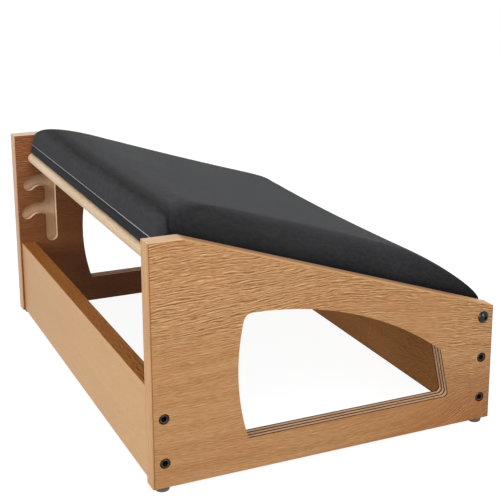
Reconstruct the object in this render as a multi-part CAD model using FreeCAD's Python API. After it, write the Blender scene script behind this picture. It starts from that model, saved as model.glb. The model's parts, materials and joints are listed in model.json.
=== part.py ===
import FreeCAD, Part
import math
import os

# Height-adjustable footrest: side panels, rails, a loose support rod and a tilting upholstered pad
# Millimetres. +X points to the right panel, -Y to the high toe end, +Z up.
# The origin is on the floor under the middle of the footprint.

# Overall sizes
WIDTH = 470.0
DEPTH = 320.0
FOOT_HEIGHT = 5.0
PANEL_THICKNESS = 15.0
PANEL_FRONT_HEIGHT = 204.0
PANEL_REAR_HEIGHT = 106.5
PANEL_FLAT_TOP = 29.0
EDGING_THICKNESS = 1.0
EDGING_BREAK = 0.5

# Cut-out of a side panel, as (distance from the front edge, height above the panel's bottom)
CUT_FRONT_TOP = (80.4, 135.8)
CUT_FRONT_BOW = (74.0, 82.0)
CUT_FRONT_BOTTOM = (82.6, 28.0)
CUT_REAR_BOTTOM = (276.0, 28.0)
CUT_REAR_TOP = (266.0, 73.7)
CUT_TOP_BOW = (180.0, 119.9)
CUT_RADIUS_FRONT_TOP = 8.0
CUT_RADIUS_REAR_BOTTOM = 4.0
CUT_RADIUS_SMALL = 1.5

# Rails between the panels
RAIL_THICKNESS = 15.0
RAIL_HEIGHT = 80.0
RAIL_INSET = 3.0
RAIL_EDGE_BREAK = 0.6

# Pivot of the pad, in the same measures as the cut-out
PIVOT_FROM_FRONT = 309.5
PIVOT_ABOVE_BOTTOM = 97.2

# Hook slot: its seats lie on an arc about the pivot
ROD_DIAMETER = 12.0
ROD_END_GAP = 1.0
ROD_CHAMFER = 0.6
SLOT_WIDTH = 12.6
SLOT_DEPTH = 8.0
SEAT_RADIUS_FROM_PIVOT = 299.2
SEAT_ANGLES = (3.1, 9.4, 15.4)
TRUNK_FROM_FRONT = 37.8
TRUNK_LOW_SEAT = 85.3
TRUNK_ABOVE_SEAT = 5.0
HOOK_MOUTH_RISE = 0.5
HOOK_HUMP_SHARE = 0.2
HOOK_EASE_ABOVE = 5.0
HOOK_EASE_BELOW = 2.0

# Pad
PAD_SIDE_GAP = 2.0
PAD_FRONT_REACH = 306.2
PAD_REAR_REACH = 7.0
BOARD_THICKNESS = 12.0
COVER_FOLD = 1.0
COVER_WRAP = 2.4
COVER_SKIN = 1.2
COVER_TURN_IN = 24.0
PAD_ROD_GAP = 0.3
UNDERSIDE_INSET = 0.6
UNDERSIDE_RISE = 2.0
SEAM_HEIGHT = 1.8
SEAM_PINCH = 0.8
EDGE_DRAW = 0.4
CUSHION_DRAW = 1.2
FRONT_BULGE = 0.6
REAR_LEAN = 4.0
SIDE_BOW = 0.2
CROWN_START = 10.4
CROWN_TOP = 32.8
CROWN_STEPS = 12
CROWN_FRONT_REACH = 52.0
CROWN_FRONT_POWER = 2.5
CROWN_SIDE_REACH = 69.0
CROWN_SIDE_POWER = 1.55
CROWN_SIDE_WALL = 0.09
CROWN_REAR_REACH = 71.4
CROWN_REAR_POWER = 1.6
PAD_CORNER_RADIUS = 2.5
CORNER_GROWTH = 0.33
PIPING_DIAMETER = 1.1

# Frame bolts, barrel nuts and wooden dowels
BOLT_HEIGHTS = (21.0, 59.0)
BOLT_RADIUS = 2.5
BOLT_HEAD_RADIUS = 4.05
BOLT_HEAD_HEIGHT = 4.5
BOLT_HEAD_CHAMFER = 0.5
BOLT_HEAD_RECESS = 0.3
BOLT_IN_RAIL = 30.0
BOLT_HOLE_RADIUS = 3.0
COUNTERBORE_RADIUS = 4.5
SOCKET_WIDTH = 4.6
SOCKET_DEPTH = 3.0
NUT_RADIUS = 5.0
NUT_LENGTH = 12.0
NUT_FROM_END = 22.0
NUT_HOLE_DEPTH = 13.5
THREAD_CLEARANCE = 0.05
DOWEL_RADIUS = 4.0
DOWEL_LENGTH = 30.0
DOWEL_IN_PANEL = 10.0
DOWEL_HEIGHT = 40.0

# Pivot parts
PIVOT_PIN_RADIUS = 2.5
PIVOT_CLEARANCE = 0.05
BUSHING_RADIUS = 4.0
DOME_RADIUS = 5.4
DOME_HEIGHT = 3.8
DOME_GAP = 0.2
DOME_SOCKET_WIDTH = 3.0
DOME_SOCKET_DEPTH = 1.8
PIN_IN_BOARD = 13.0
INSERT_RADIUS = 4.0
INSERT_LENGTH = 14.0
WASHER_RADIUS = 6.0
WASHER_GAP = 0.15

# Feet
FOOT_TOP_RADIUS = 6.5
FOOT_BOTTOM_RADIUS = 5.8
FOOT_RIM_RADIUS = 1.5
FOOT_FROM_END = 10.0
SCREW_RADIUS = 1.5
SCREW_HEAD_RADIUS = 3.0
SCREW_HEAD_HEIGHT = 1.6
SCREW_RECESS = 1.2
SCREW_LENGTH = 14.0

# Overshoot of cutting shapes past a face, and how near two points count as one
OVERCUT = 1.0
NEAR = 0.01

# Values worked out from the sizes above
HALF_DEPTH = DEPTH / 2
PANEL_INNER = WIDTH / 2 - PANEL_THICKNESS
PANEL_OUTER = WIDTH / 2
ROD_RADIUS = ROD_DIAMETER / 2
PIVOT_Y = PIVOT_FROM_FRONT - HALF_DEPTH
PIVOT_Z = PIVOT_ABOVE_BOTTOM + FOOT_HEIGHT
PAD_HALF_WIDTH = PANEL_INNER - PAD_SIDE_GAP
BOARD_HALF_WIDTH = PAD_HALF_WIDTH - COVER_WRAP
PAD_UNDERSIDE = -BOARD_THICKNESS / 2 - COVER_FOLD
BOARD_TOP = BOARD_THICKNESS / 2
PAD_ANGLE = SEAT_ANGLES[-1] + math.degrees(
    math.asin((ROD_RADIUS + PAD_ROD_GAP - PAD_UNDERSIDE) / SEAT_RADIUS_FROM_PIVOT))
X_AXIS = FreeCAD.Vector(1, 0, 0)
Y_AXIS = FreeCAD.Vector(0, 1, 0)
Z_AXIS = FreeCAD.Vector(0, 0, 1)
ORIGIN = FreeCAD.Vector(0, 0, 0)
SIDES = {"left": -1, "right": 1}


def frame_point(from_front, above_bottom, x=0.0):
    """A point given by its distance from the front edge and its height above the panels' bottom."""
    return FreeCAD.Vector(x, from_front - HALF_DEPTH, above_bottom + FOOT_HEIGHT)


def save(name, shape):
    """Write one node, a single solid or a group of alike solids."""
    shape.exportStep("parts/" + name + ".step")
    print(name, "solids", len(shape.Solids), "valid", shape.isValid(), "volume", round(shape.Volume))


def mirror_to(side, shape):
    """Shapes are made for the right panel; the left ones are their mirror images."""
    return shape if SIDES[side] > 0 else shape.mirror(ORIGIN, X_AXIS)


def line(start, end):
    return Part.LineSegment(start, end).toShape()


def arc(start, middle, end):
    return Part.Arc(start, middle, end).toShape()


def extrude_x(edges, x_start, x_end):
    """Extrude a closed outline in a plane x = 0 from x_start to x_end."""
    face = Part.Face(Part.Wire(edges))
    face.translate(FreeCAD.Vector(x_start, 0, 0))
    return face.extrude(FreeCAD.Vector(x_end - x_start, 0, 0))


def rod_along_x(radius, x_start, x_end, y, z):
    return Part.makeCylinder(radius, x_end - x_start, FreeCAD.Vector(x_start, y, z), X_AXIS)


def hexagon_prism(width, x_start, x_end, y, z):
    """A hexagon socket, given by its width across the flats."""
    corner = width / math.sqrt(3)
    points = []
    for step in range(7):
        turn = math.radians(60 * step)
        points.append(FreeCAD.Vector(0, y + corner * math.cos(turn), z + corner * math.sin(turn)))
    edges = [line(points[i], points[i + 1]) for i in range(6)]
    return extrude_x(edges, x_start, x_end)


# Side panels
def panel_outline(inset):
    """The panel's outline, drawn in by inset on its front, top and rear edges."""
    fall = (PANEL_FRONT_HEIGHT - PANEL_REAR_HEIGHT) / (DEPTH - PANEL_FLAT_TOP)
    slope = math.atan(fall)
    knee = PANEL_FLAT_TOP - inset * math.tan(slope / 2)
    top = PANEL_FRONT_HEIGHT - inset
    rear_top = top - (DEPTH - inset - knee) * fall
    corners = [
        (inset, 0.0),
        (DEPTH - inset, 0.0),
        (DEPTH - inset, rear_top),
        (knee, top),
        (inset, top),
    ]
    points = [frame_point(*corner) for corner in corners]
    return [line(points[i], points[(i + 1) % len(points)]) for i in range(len(points))]


def cut_out():
    """The large opening with a bowed front edge and an arched top, rounded at its corners."""
    front_top = frame_point(*CUT_FRONT_TOP)
    front_bottom = frame_point(*CUT_FRONT_BOTTOM)
    rear_bottom = frame_point(*CUT_REAR_BOTTOM)
    rear_top = frame_point(*CUT_REAR_TOP)
    edges = [
        arc(front_top, frame_point(*CUT_FRONT_BOW), front_bottom),
        line(front_bottom, rear_bottom),
        line(rear_bottom, rear_top),
        arc(rear_top, frame_point(*CUT_TOP_BOW), front_top),
    ]
    cutter = extrude_x(edges, PANEL_INNER - OVERCUT, PANEL_OUTER + OVERCUT)
    radii = [
        (front_top, CUT_RADIUS_FRONT_TOP),
        (front_bottom, CUT_RADIUS_SMALL),
        (rear_bottom, CUT_RADIUS_REAR_BOTTOM),
        (rear_top, CUT_RADIUS_SMALL),
    ]
    for corner, radius in radii:
        cutter = cutter.makeFillet(radius, edges_along_x(cutter, corner))
    return cutter


def edges_along_x(shape, corner):
    """The straight edges parallel to X that pass through a corner's y and z."""
    found = []
    for edge in shape.Edges:
        ends = [vertex.Point for vertex in edge.Vertexes]
        near = [abs(p.y - corner.y) < NEAR and abs(p.z - corner.z) < NEAR for p in ends]
        if len(ends) == 2 and all(near):
            found.append(edge)
    return found


def seat_centre(angle):
    """Centre of the rod in a hook seat, at an angle above the horizontal through the pivot."""
    turn = math.radians(angle)
    y = PIVOT_Y - SEAT_RADIUS_FROM_PIVOT * math.cos(turn)
    z = PIVOT_Z + SEAT_RADIUS_FROM_PIVOT * math.sin(turn)
    return FreeCAD.Vector(0, y, z)


def arc_band(start, middle, end, width):
    """A flat band of even width along the arc through three points."""
    centre = arc(start, middle, end).Curve.Center
    rims = []
    for offset in (width / 2, -width / 2):
        rim = []
        for point in (start, middle, end):
            out = (point - centre).normalize()
            rim.append(point + out * offset)
        rims.append(rim)
    outer, inner = rims
    return [
        arc(*outer),
        line(outer[2], inner[2]),
        arc(inner[2], inner[1], inner[0]),
        line(inner[0], outer[0]),
    ]


def hook_slot():
    """The blind slot: a straight trunk and, at each upper level, a hook with a hump before its seat."""
    trunk_y = TRUNK_FROM_FRONT - HALF_DEPTH
    bottom = TRUNK_LOW_SEAT + FOOT_HEIGHT
    top = seat_centre(SEAT_ANGLES[-1]).z + TRUNK_ABOVE_SEAT
    inner = PANEL_INNER - OVERCUT
    floor = PANEL_INNER + SLOT_DEPTH
    half = SLOT_WIDTH / 2
    box_corner = FreeCAD.Vector(inner, trunk_y - half, bottom)
    slot = Part.makeBox(floor - inner, SLOT_WIDTH, top - bottom, box_corner)
    slot = slot.fuse(rod_along_x(half, inner, floor, trunk_y, bottom))
    slot = slot.fuse(rod_along_x(half, inner, floor, trunk_y, top))
    for angle in SEAT_ANGLES:
        seat = seat_centre(angle)
        mouth = FreeCAD.Vector(0, trunk_y, seat.z + HOOK_MOUTH_RISE)
        hump = (seat + mouth) * 0.5 + Z_AXIS * (HOOK_HUMP_SHARE * (trunk_y - seat.y))
        slot = slot.fuse(extrude_x(arc_band(seat, hump, mouth, SLOT_WIDTH), inner, floor))
        slot = slot.fuse(rod_along_x(half, inner, floor, seat.y, seat.z))
    slot = slot.removeSplitter()
    for radius, below in ((HOOK_EASE_ABOVE, False), (HOOK_EASE_BELOW, True)):
        slot = slot.makeFillet(radius, hook_corners(slot, trunk_y - half, (bottom, top), below))
    return slot


def hook_corners(slot, side_y, trunk_ends, below):
    """The slot's edges on the trunk's side where the hooks' upper or, if below, lower edges meet it."""
    found = []
    for edge in slot.Edges:
        ends = [vertex.Point for vertex in edge.Vertexes]
        if len(ends) != 2 or abs(ends[0].x - ends[1].x) < NEAR:
            continue
        on_side = all(abs(p.y - side_y) < NEAR for p in ends)
        at_end = any(abs(ends[0].z - z) < NEAR for z in trunk_ends)
        drops = [seat_centre(angle).z - ends[0].z for angle in SEAT_ANGLES]
        if on_side and not at_end and any(0 < drop < SLOT_WIDTH for drop in drops) == below:
            found.append(edge)
    return found


def panel_holes():
    """Holes of the right panel for the frame bolts, dowels, pivot bushing and foot screws."""
    holes = []
    through = (PANEL_INNER - OVERCUT, PANEL_OUTER + OVERCUT)
    head_floor = PANEL_OUTER - BOLT_HEAD_RECESS - BOLT_HEAD_HEIGHT
    for y in rail_centres():
        for height in BOLT_HEIGHTS:
            z = height + FOOT_HEIGHT
            holes.append(rod_along_x(BOLT_HOLE_RADIUS, through[0], through[1], y, z))
            holes.append(rod_along_x(COUNTERBORE_RADIUS, head_floor, through[1], y, z))
        z = DOWEL_HEIGHT + FOOT_HEIGHT
        holes.append(rod_along_x(DOWEL_RADIUS, through[0], PANEL_INNER + DOWEL_IN_PANEL, y, z))
    holes.append(rod_along_x(BUSHING_RADIUS, through[0], through[1], PIVOT_Y, PIVOT_Z))
    return holes + [screw.copy() for screw in foot_screw_pair()]


def side_panel():
    panel = extrude_x(panel_outline(EDGING_THICKNESS), PANEL_INNER, PANEL_OUTER)
    for cutter in [cut_out(), hook_slot()] + panel_holes():
        panel = panel.cut(cutter)
    return panel


def rim_edges(shape):
    """The edges round both faces of a panel, apart from those along its bottom."""
    found = []
    for edge in shape.Edges:
        ends = [vertex.Point for vertex in edge.Vertexes]
        in_face = abs(ends[0].x - ends[-1].x) < NEAR
        at_bottom = all(p.z < FOOT_HEIGHT + NEAR for p in ends)
        if in_face and not at_bottom:
            found.append(edge)
    return found


def panel_edging():
    """The strip round the front, top and rear edges of a panel, with its sharp edges broken."""
    whole = extrude_x(panel_outline(0.0), PANEL_INNER, PANEL_OUTER)
    whole = whole.makeChamfer(EDGING_BREAK, rim_edges(whole))
    return whole.cut(extrude_x(panel_outline(EDGING_THICKNESS), PANEL_INNER, PANEL_OUTER))


# Rails
def rail_centres():
    """Y of the front and the rear rail's middle plane."""
    middle = HALF_DEPTH - RAIL_INSET - RAIL_THICKNESS / 2
    return (-middle, middle)


def both_sides(shapes):
    """The shapes and their mirror images."""
    return shapes + [shape.mirror(ORIGIN, X_AXIS) for shape in shapes]


def rail(y):
    corner = FreeCAD.Vector(-PANEL_INNER, y - RAIL_THICKNESS / 2, FOOT_HEIGHT)
    body = Part.makeBox(2 * PANEL_INNER, RAIL_THICKNESS, RAIL_HEIGHT, corner)
    long_edges = [edge for edge in body.Edges if edge.Length > 2 * PANEL_INNER - NEAR]
    body = body.makeFillet(RAIL_EDGE_BREAK, long_edges)
    holes = [dowel(y)]
    for height in BOLT_HEIGHTS:
        z = height + FOOT_HEIGHT
        inner_end = PANEL_INNER - BOLT_IN_RAIL - OVERCUT
        holes.append(rod_along_x(BOLT_HOLE_RADIUS, inner_end, PANEL_INNER + OVERCUT, y, z))
        holes.append(nut_cylinder(y, z, NUT_HOLE_DEPTH))
    for hole in both_sides(holes):
        body = body.cut(hole)
    return body


def nut_cylinder(y, z, depth):
    """A cylinder across the rail from its inner face, on the axis of a barrel nut."""
    inward = -1 if y > 0 else 1
    face_y = y + inward * RAIL_THICKNESS / 2
    start = FreeCAD.Vector(PANEL_INNER - NUT_FROM_END, face_y, z)
    return Part.makeCylinder(NUT_RADIUS, depth, start, Y_AXIS * -inward)


def dowel(y):
    start = PANEL_INNER + DOWEL_IN_PANEL - DOWEL_LENGTH
    return rod_along_x(DOWEL_RADIUS, start, PANEL_INNER + DOWEL_IN_PANEL, y, DOWEL_HEIGHT + FOOT_HEIGHT)


def frame_bolt(y, z):
    """A socket screw from the panel's outer face into the rail."""
    face = PANEL_OUTER - BOLT_HEAD_RECESS
    head = rod_along_x(BOLT_HEAD_RADIUS, face - BOLT_HEAD_HEIGHT, face, y, z)
    rim = [edge for edge in head.Edges if edge.Vertexes[0].Point.x > face - NEAR and edge.Closed]
    head = head.makeChamfer(BOLT_HEAD_CHAMFER, rim[:1])
    head = head.cut(hexagon_prism(SOCKET_WIDTH, face - SOCKET_DEPTH, face + OVERCUT, y, z))
    shank = rod_along_x(BOLT_RADIUS, PANEL_INNER - BOLT_IN_RAIL, face - BOLT_HEAD_HEIGHT, y, z)
    return head.fuse(shank).removeSplitter()


def barrel_nut(y, z):
    inward = -1 if y > 0 else 1
    nut = nut_cylinder(y, z, NUT_LENGTH)
    nut.translate(Y_AXIS * (-inward * (RAIL_THICKNESS - NUT_LENGTH) / 2))
    thread = rod_along_x(BOLT_RADIUS + THREAD_CLEARANCE, PANEL_INNER - 2 * NUT_FROM_END, PANEL_INNER, y, z)
    return nut.cut(thread)


# Feet
def foot_place(y_side):
    middle = (PANEL_INNER + PANEL_OUTER) / 2
    return FreeCAD.Vector(middle, y_side * (HALF_DEPTH - FOOT_FROM_END), 0)


def foot_screw(y_side):
    """A countersunk screw up through a foot into the panel's bottom edge."""
    place = foot_place(y_side)
    start = place + Z_AXIS * SCREW_RECESS
    head = Part.makeCone(SCREW_HEAD_RADIUS, SCREW_RADIUS, SCREW_HEAD_HEIGHT, start, Z_AXIS)
    shank = Part.makeCylinder(SCREW_RADIUS, SCREW_LENGTH, start, Z_AXIS)
    return head.fuse(shank).removeSplitter()


def foot_screw_pair():
    return [foot_screw(-1), foot_screw(1)]


def foot(y_side):
    place = foot_place(y_side)
    body = Part.makeCone(FOOT_BOTTOM_RADIUS, FOOT_TOP_RADIUS, FOOT_HEIGHT, place, Z_AXIS)
    rim = [edge for edge in body.Edges if edge.Closed and edge.Vertexes[0].Point.z < NEAR]
    body = body.makeFillet(FOOT_RIM_RADIUS, rim[:1])
    recess = Part.makeCylinder(SCREW_HEAD_RADIUS, SCREW_RECESS, place, Z_AXIS)
    return body.cut(recess).cut(foot_screw(y_side))


# Support rod
def support_rod():
    seat = seat_centre(SEAT_ANGLES[-1])
    reach = PANEL_INNER + SLOT_DEPTH - ROD_END_GAP
    body = rod_along_x(ROD_RADIUS, -reach, reach, seat.y, seat.z)
    rims = [edge for edge in body.Edges if edge.Closed]
    return body.makeChamfer(ROD_CHAMFER, rims)


# Pad, made level about the pivot axis: y runs to the rear, z is the height above the board's middle
def place_pad(shape):
    """Tilt a level pad piece to its rest slope and move it to the pivot."""
    placed = shape.copy()
    placed.rotate(ORIGIN, X_AXIS, -PAD_ANGLE)
    placed.translate(FreeCAD.Vector(0, PIVOT_Y, PIVOT_Z))
    return placed


def pad_section(height, front, side, rear, draw):
    """A level section of the cushion, inset by front, side and rear at the middle of each side.

    The sides are drawn in between rounded corners, which keep out of a share of each inset.
    """
    corner_share = 1 - SIDE_BOW
    x = PAD_HALF_WIDTH - corner_share * side
    y_front = -(PAD_FRONT_REACH - corner_share * front)
    y_rear = PAD_REAR_REACH - corner_share * rear
    front_draw, side_draw, rear_draw = [draw + SIDE_BOW * inset for inset in (front, side, rear)]
    radius = PAD_CORNER_RADIUS + CORNER_GROWTH * side
    middle_y = (y_front + y_rear) / 2
    bend = radius * (1 - math.sqrt(0.5))

    def point(px, py):
        return FreeCAD.Vector(px, py, height)

    edges = [
        arc(point(-x + radius, y_front), point(0, y_front + front_draw), point(x - radius, y_front)),
        arc(point(x - radius, y_front), point(x - bend, y_front + bend), point(x, y_front + radius)),
        arc(point(x, y_front + radius), point(x - side_draw, middle_y), point(x, y_rear - radius)),
        arc(point(x, y_rear - radius), point(x - bend, y_rear - bend), point(x - radius, y_rear)),
        arc(point(x - radius, y_rear), point(0, y_rear - rear_draw), point(-x + radius, y_rear)),
        arc(point(-x + radius, y_rear), point(-x + bend, y_rear - bend), point(-x, y_rear - radius)),
        arc(point(-x, y_rear - radius), point(-x + side_draw, middle_y), point(-x, y_front + radius)),
        arc(point(-x, y_front + radius), point(-x + bend, y_front + bend), point(-x + radius, y_front)),
    ]
    return Part.Wire(edges)


def drawn_in(level, power, start, reach):
    """Inset of the crown at a level from 0 to 1: a rounded shoulder from start to reach."""
    share = 1 - (1 - level ** power) ** (1 / power)
    return start + share * (reach - start)


def crown_sections(base_inset, top):
    """Sections of the crown: a full front shoulder, sloping sides and a long fall at the rear."""
    sections = []
    for step in range(CROWN_STEPS + 1):
        level = math.sin(math.pi / 2 * step / CROWN_STEPS)
        height = CROWN_START + level * (top - CROWN_START)
        front = drawn_in(level, CROWN_FRONT_POWER, base_inset - FRONT_BULGE, CROWN_FRONT_REACH)
        side_level = max(level - CROWN_SIDE_WALL, 0.0) / (1 - CROWN_SIDE_WALL)
        side = drawn_in(side_level, CROWN_SIDE_POWER, base_inset, CROWN_SIDE_REACH)
        rear = drawn_in(level, CROWN_REAR_POWER, base_inset + REAR_LEAN, CROWN_REAR_REACH)
        sections.append(pad_section(height, front, side, rear, CUSHION_DRAW))
    return sections


def pad_form():
    """Outer form of the upholstered pad, pinched at the seam and crowned on top."""
    under = UNDERSIDE_INSET
    seam = SEAM_PINCH
    sections = [
        pad_section(PAD_UNDERSIDE, under, under, under, EDGE_DRAW),
        pad_section(PAD_UNDERSIDE + UNDERSIDE_RISE, 0.0, 0.0, 0.0, EDGE_DRAW),
        pad_section(SEAM_HEIGHT, seam, seam, seam, EDGE_DRAW),
    ]
    return Part.makeLoft(sections + crown_sections(0.0, CROWN_TOP), True, True)


def pad_board():
    front = PAD_FRONT_REACH - COVER_WRAP
    rear = PAD_REAR_REACH - COVER_WRAP
    corner = FreeCAD.Vector(-BOARD_HALF_WIDTH, -front, -BOARD_THICKNESS / 2)
    board = Part.makeBox(2 * BOARD_HALF_WIDTH, front + rear, BOARD_THICKNESS, corner)
    upright = [edge for edge in board.Edges if abs(edge.Length - BOARD_THICKNESS) < NEAR]
    return board.makeFillet(PAD_CORNER_RADIUS - COVER_WRAP / 2, upright)


def pad_foam():
    base = pad_section(BOARD_TOP, COVER_WRAP, COVER_WRAP, COVER_WRAP, EDGE_DRAW)
    return Part.makeLoft([base] + crown_sections(COVER_WRAP, CROWN_TOP - COVER_SKIN), True, True)


def pad_liner():
    front = PAD_FRONT_REACH - COVER_TURN_IN
    rear = PAD_REAR_REACH - COVER_TURN_IN
    x = PAD_HALF_WIDTH - COVER_TURN_IN
    corner = FreeCAD.Vector(-x, -front, PAD_UNDERSIDE)
    return Part.makeBox(2 * x, front + rear, COVER_FOLD, corner)


def pad_piping():
    """A cord across the front face, half sunk in the seam."""
    x = PAD_HALF_WIDTH - PAD_CORNER_RADIUS - SEAM_PINCH
    y = -(PAD_FRONT_REACH - SEAM_PINCH)
    ends = (FreeCAD.Vector(-x, y, SEAM_HEIGHT), FreeCAD.Vector(x, y, SEAM_HEIGHT))
    path = Part.Wire([arc(ends[0], FreeCAD.Vector(0, y + EDGE_DRAW, SEAM_HEIGHT), ends[1])])
    circle = Part.Wire([Part.makeCircle(PIPING_DIAMETER / 2, ends[0], path.Edges[0].tangentAt(0))])
    return path.makePipeShell([circle], True, False)


def pivot_core(radius):
    """Room round the pivot axis through the pad's right side."""
    return rod_along_x(radius, BOARD_HALF_WIDTH - INSERT_LENGTH, PANEL_INNER, 0, 0)


def pad_cover(board, foam, liner, piping):
    cover = pad_form()
    for inner in (board, foam, liner, piping):
        cover = cover.cut(inner)
    for core in both_sides([pivot_core(INSERT_RADIUS)]):
        cover = cover.cut(core)
    return cover


def pivot_insert():
    body = rod_along_x(INSERT_RADIUS, BOARD_HALF_WIDTH - INSERT_LENGTH, BOARD_HALF_WIDTH, 0, 0)
    return body.cut(pin_room())


def pin_room():
    """Room for the pivot bolt's threaded end."""
    return rod_along_x(PIVOT_PIN_RADIUS + THREAD_CLEARANCE, 0, PANEL_OUTER, 0, 0)


def pivot_washer():
    start = PAD_HALF_WIDTH + WASHER_GAP
    body = rod_along_x(WASHER_RADIUS, start, PANEL_INNER - WASHER_GAP, 0, 0)
    return body.cut(pin_room())


def pivot_bolt():
    """Domed socket screw: its shank turns in the panel's bushing and holds in the board's insert."""
    face = PANEL_OUTER + DOME_GAP
    sphere_radius = (DOME_RADIUS ** 2 + DOME_HEIGHT ** 2) / (2 * DOME_HEIGHT)
    centre = FreeCAD.Vector(face + DOME_HEIGHT - sphere_radius, 0, 0)
    ball = Part.makeSphere(sphere_radius, centre)
    dome = ball.common(rod_along_x(DOME_RADIUS, face, face + DOME_HEIGHT + OVERCUT, 0, 0))
    top = face + DOME_HEIGHT
    dome = dome.cut(hexagon_prism(DOME_SOCKET_WIDTH, top - DOME_SOCKET_DEPTH, top + OVERCUT, 0, 0))
    shank = rod_along_x(PIVOT_PIN_RADIUS, BOARD_HALF_WIDTH - PIN_IN_BOARD, face, 0, 0)
    return dome.fuse(shank).removeSplitter()


def pivot_bushing():
    bore = PIVOT_PIN_RADIUS + PIVOT_CLEARANCE
    body = rod_along_x(BUSHING_RADIUS, PANEL_INNER, PANEL_OUTER, PIVOT_Y, PIVOT_Z)
    return body.cut(rod_along_x(bore, PANEL_INNER - OVERCUT, PANEL_OUTER + OVERCUT, PIVOT_Y, PIVOT_Z))


# Build every node
def build_frame():
    panel = side_panel()
    edging = panel_edging()
    bushing = pivot_bushing()
    for side in SIDES:
        save("side_panel_" + side, mirror_to(side, panel))
        save("edging_" + side, mirror_to(side, edging))
        save("pivot_bushing_" + side, mirror_to(side, bushing))
        save("foot_front_" + side, mirror_to(side, foot(-1)))
        save("foot_rear_" + side, mirror_to(side, foot(1)))
    front, rear = rail_centres()
    save("front_rail", rail(front))
    save("rear_rail", rail(rear))
    places = [(y, height + FOOT_HEIGHT) for y in rail_centres() for height in BOLT_HEIGHTS]
    save("frame_bolts", Part.makeCompound(both_sides([frame_bolt(*place) for place in places])))
    save("barrel_nuts", Part.makeCompound(both_sides([barrel_nut(*place) for place in places])))
    save("wood_dowels", Part.makeCompound(both_sides([dowel(front), dowel(rear)])))
    save("foot_screws", Part.makeCompound(both_sides(foot_screw_pair())))
    save("support_rod", support_rod())


def build_pad():
    board = pad_board()
    for core in both_sides([pivot_core(INSERT_RADIUS)]):
        board = board.cut(core)
    foam = pad_foam()
    liner = pad_liner()
    piping = pad_piping()
    cover = pad_cover(pad_board(), foam, liner, piping)
    save("pad_board", place_pad(board))
    save("pad_foam", place_pad(foam))
    save("pad_liner", place_pad(liner))
    save("pad_piping", place_pad(piping))
    save("pad_cover", place_pad(cover))
    for side in SIDES:
        save("pivot_bolt_" + side, place_pad(mirror_to(side, pivot_bolt())))
        save("pivot_insert_" + side, place_pad(mirror_to(side, pivot_insert())))
        save("pivot_washer_" + side, place_pad(mirror_to(side, pivot_washer())))


os.makedirs("parts", exist_ok=True)
build_frame()
build_pad()
seat = seat_centre(SEAT_ANGLES[-1])
print("pad slope", round(PAD_ANGLE, 2), "pivot", PIVOT_Y, PIVOT_Z, "rod", round(seat.y, 2), round(seat.z, 2))
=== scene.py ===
import bpy
import json
import math
from mathutils import Matrix, Vector


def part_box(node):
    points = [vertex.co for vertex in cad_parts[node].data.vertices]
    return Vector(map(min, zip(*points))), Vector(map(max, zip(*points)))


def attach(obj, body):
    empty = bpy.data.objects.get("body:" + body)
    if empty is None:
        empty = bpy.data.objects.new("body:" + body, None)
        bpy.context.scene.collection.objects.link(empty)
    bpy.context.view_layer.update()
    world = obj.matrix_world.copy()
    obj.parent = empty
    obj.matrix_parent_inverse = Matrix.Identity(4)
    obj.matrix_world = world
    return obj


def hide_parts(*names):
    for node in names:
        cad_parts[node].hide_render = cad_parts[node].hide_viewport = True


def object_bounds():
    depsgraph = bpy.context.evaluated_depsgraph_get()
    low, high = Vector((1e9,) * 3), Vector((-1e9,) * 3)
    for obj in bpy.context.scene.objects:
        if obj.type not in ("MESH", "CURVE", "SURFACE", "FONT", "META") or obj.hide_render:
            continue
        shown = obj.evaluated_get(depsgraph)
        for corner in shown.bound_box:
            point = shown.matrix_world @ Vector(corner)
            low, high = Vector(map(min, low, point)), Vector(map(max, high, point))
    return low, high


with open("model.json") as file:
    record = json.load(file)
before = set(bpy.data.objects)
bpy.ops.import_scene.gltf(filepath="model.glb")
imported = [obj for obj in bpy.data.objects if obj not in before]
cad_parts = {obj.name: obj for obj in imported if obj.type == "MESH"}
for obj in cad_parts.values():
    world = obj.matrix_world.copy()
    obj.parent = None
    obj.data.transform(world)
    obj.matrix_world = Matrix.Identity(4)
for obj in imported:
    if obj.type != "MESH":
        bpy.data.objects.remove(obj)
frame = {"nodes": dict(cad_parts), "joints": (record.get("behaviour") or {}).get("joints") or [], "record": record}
CAD_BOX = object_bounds()

# Adjustable footrest: wooden frame, loose support rod and a tilting upholstered pad
# Metres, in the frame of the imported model: +X to the right panel, -Y to the high toe end, +Z up.

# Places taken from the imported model, with the slots' depth and rear edge
PIVOT = Vector(frame["joints"][0]["pos_m"])
PAD_NORMAL = Vector(frame["record"]["mounts"][1]["axis"])
PAD_SLOPE = math.atan2(PAD_NORMAL.y, PAD_NORMAL.z)
PANEL_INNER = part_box("side_panel_right")[0].x
PANEL_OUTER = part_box("side_panel_right")[1].x
PAD_HALF_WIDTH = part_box("pad_cover")[1].x
SLOT_DEPTH = 0.008
SLOT_REAR = -0.100

# Pad, level about its pivot: y runs to the rear, z is the height above the board's middle
PAD_FRONT = -0.3062
PAD_REAR = 0.007
PAD_UNDERSIDE = -0.007
LINER_INSET = 0.024
LINER_RECESS = 0.0006
WALL_SLANT = 0.0006
SEAM_HEIGHT = 0.0018
SEAM_LIP = 0.0012
SEAM_DEPTH = 0.0009
CROWN_START = 0.0104
CROWN_TOP = 0.0330
FRONT_BULGE = 0.0006
CROWN_FRONT = (0.052, 2.5)
CROWN_SIDE = (0.069, 1.55)
CROWN_REAR = (0.0714, 1.6)
SIDE_WALL = 0.09
SIDE_BOW = 0.2
REAR_LEAN = 0.0018
CROWN_RINGS = 20
PAD_CORNER_RADIUS = 0.0018
CORNER_GROWTH = 0.26
BOARD_EDGE_RADIUS = 0.0012
UNDERSIDE_INSET = 0.012
PIN_MARGIN = 0.0001
SIDE_DRAW = 0.0008
GRID_ACROSS = 84
GRID_ALONG = 60

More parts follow.
